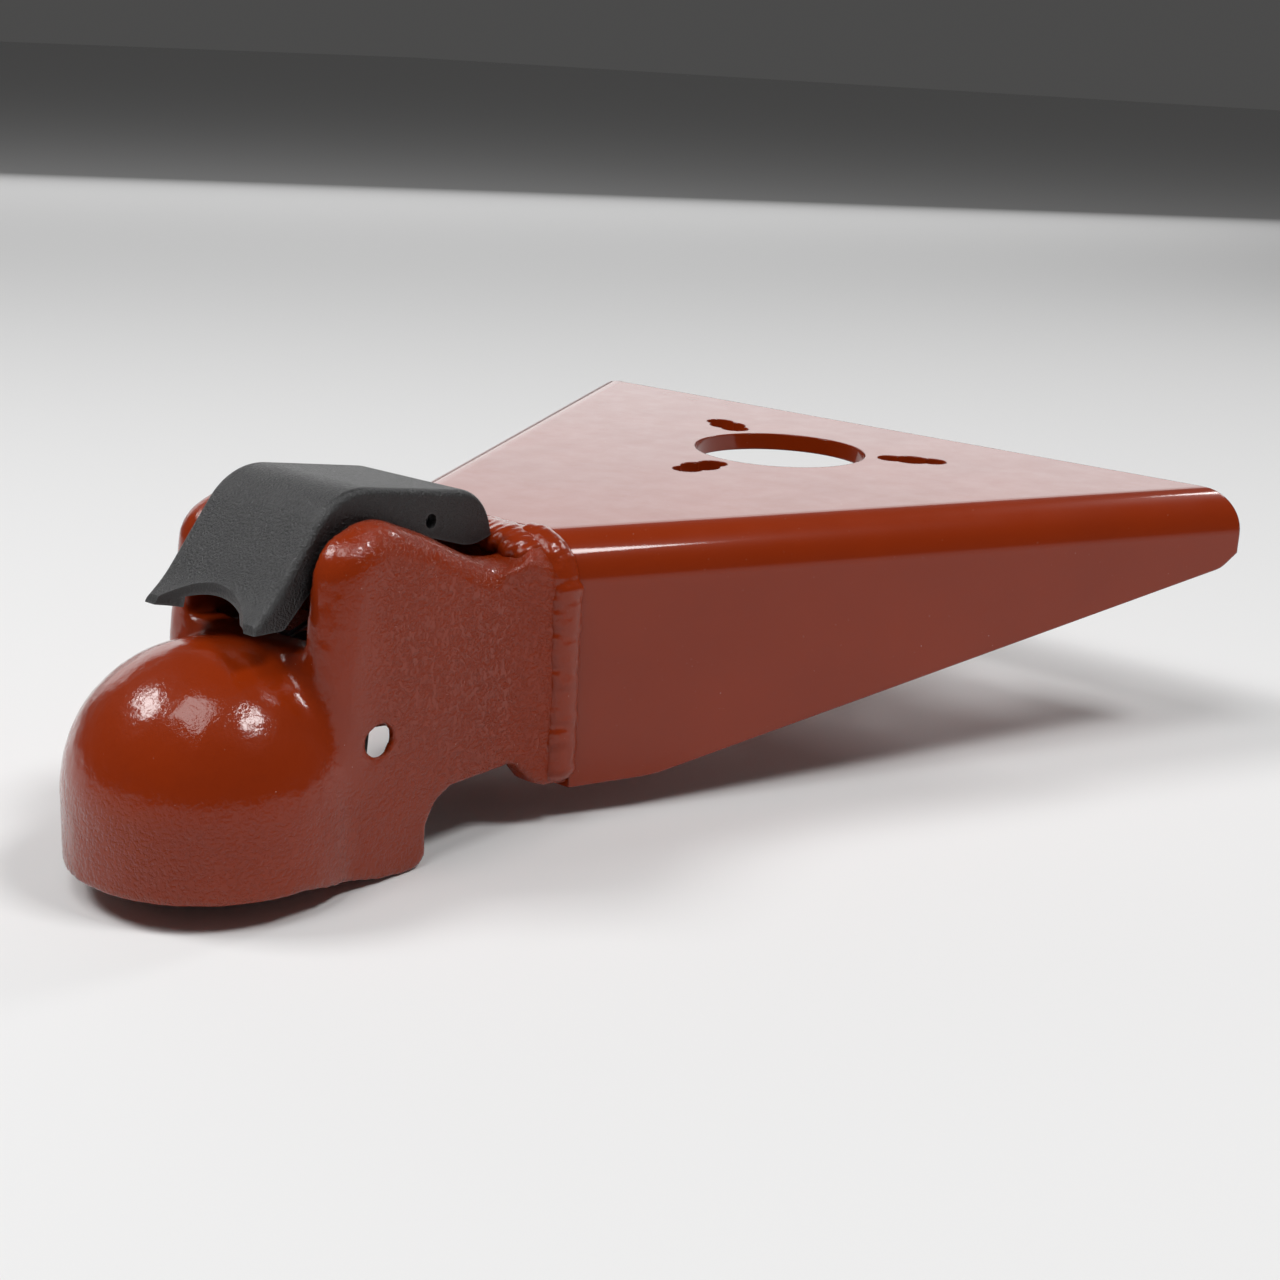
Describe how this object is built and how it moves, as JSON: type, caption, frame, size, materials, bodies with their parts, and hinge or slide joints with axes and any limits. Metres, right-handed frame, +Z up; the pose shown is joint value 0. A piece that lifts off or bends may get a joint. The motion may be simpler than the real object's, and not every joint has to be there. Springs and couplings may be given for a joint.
{
  "type": "a-frame trailer coupler",
  "caption": "Weld-on A-frame trailer coupler: domed cast head with ball socket, lever latch with black cover, and a bent forked plate with a jack hole.",
  "frame": {"origin": "centre of the ball in the socket", "axes": "+X back along the trailer, +Y to the right-hand side when facing forward, +Z up out of the dome"},
  "size_m": [0.3892, 0.3098, 0.1137],
  "materials": {
    "red_enamel": "glossy red-orange enamel, slightly pitted over the casting",
    "red_enamel_weld": "the same enamel over rippled weld",
    "black_plastic": "fine-grained moulding",
    "zinc_steel": "zinc plated",
    "plain_steel": "turned",
    "spring_steel": "drawn wire",
    "clamp_iron": "phosphated casting",
    "brass_bush": "sintered"
  },
  "bodies": {
    "head": {"head_casting": "red_enamel", "a_frame_plate": "red_enamel", "weld_bead_left": "red_enamel_weld", "weld_bead_right": "red_enamel_weld", "weld_bead_top": "red_enamel_weld", "lever_pivot_pin": "plain_steel", "lever_springs": "spring_steel", "spring_anchor_pin": "plain_steel", "clamp_pivot_pin": "plain_steel", "clamp_pin_plug": "red_enamel_weld", "clamp_washers": "zinc_steel", "clamp_spacers": "zinc_steel", "clamp_spring": "spring_steel"},
    "lever": {"lever_cover": "black_plastic", "lever_channel": "zinc_steel", "lever_screws": "zinc_steel", "lever_bushes": "brass_bush", "cam_roller": "plain_steel", "cam_roller_pin": "plain_steel"},
    "clamp": {"ball_clamp": "clamp_iron", "clamp_bush": "brass_bush"}
  },
  "joints": [
    {"name": "lever_lift", "type": "hinge", "parent": "head", "child": "lever", "pos_m": [0.06317, 0, 0.07097], "axis": [0, 1, 0], "range_deg": [0, 38], "stiffness_Nm_per_rad": 0.3, "springref_deg": -34.38, "deforming": ["lever_springs"]},
    {"name": "clamp_swing", "type": "hinge", "parent": "head", "child": "clamp", "pos_m": [0.04997, 0, 0.02197], "axis": [0, 1, 0], "range_deg": [-11.5, 0], "stiffness_Nm_per_rad": 0.4, "springref_deg": 17.19, "deforming": ["clamp_spring"]}
  ],
  "couplings": [
    {"joint": "clamp_swing", "follows": "lever_lift", "ratio": -0.29402}
  ]
}
